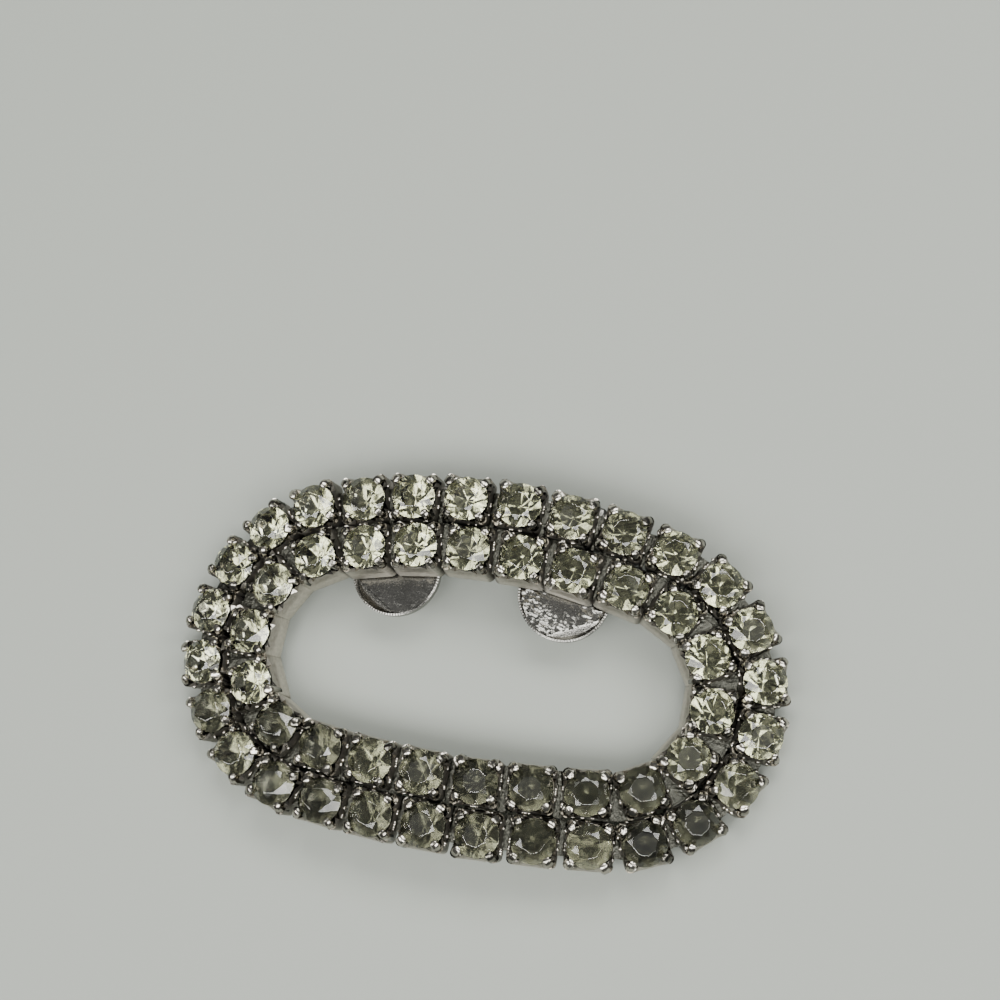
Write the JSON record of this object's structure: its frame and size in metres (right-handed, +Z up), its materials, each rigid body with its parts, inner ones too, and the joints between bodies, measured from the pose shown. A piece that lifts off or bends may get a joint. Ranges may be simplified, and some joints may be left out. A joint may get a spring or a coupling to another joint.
{
  "type": "shoe clip",
  "caption": "Oval ring of round stones in square four-prong cups, in two rows round an open middle, with a sprung grip lever under one long side that bites a shoe's edge.",
  "frame": {"origin": "middle of the clip's box, on the surface that it lies on", "axes": "+X along the oval's length, +Y towards the long side that carries the grip, +Z up, out of the stones"},
  "size_m": [0.0548, 0.0332, 0.0084],
  "materials": {
    "setting_metal": "rhodium plated cast brass, dulled between the cups",
    "outer_stones": "foiled cut crystal",
    "inner_stones": "foiled cut crystal",
    "grip_steel": "nickel plated steel, stippled pads",
    "pin_steel": "nickel plated wire",
    "spring_steel": "drawn spring wire"
  },
  "bodies": {
    "clip_body": {"setting_ring": "setting_metal", "outer_stones": "outer_stones", "inner_stones": "inner_stones", "hinge_pin": "pin_steel", "grip_spring": "spring_steel"},
    "lever_body": {"grip_lever": "grip_steel"}
  },
  "joints": [
    {"name": "grip_hinge", "type": "hinge", "parent": "clip_body", "child": "lever_body", "pos_m": [-0.0012, 0.01307, 0.00261], "axis": [1, 0, 0], "range_deg": [0, 40], "stiffness_Nm_per_rad": 0.0004, "springref_deg": -51.57, "deforming": ["grip_spring"]}
  ]
}
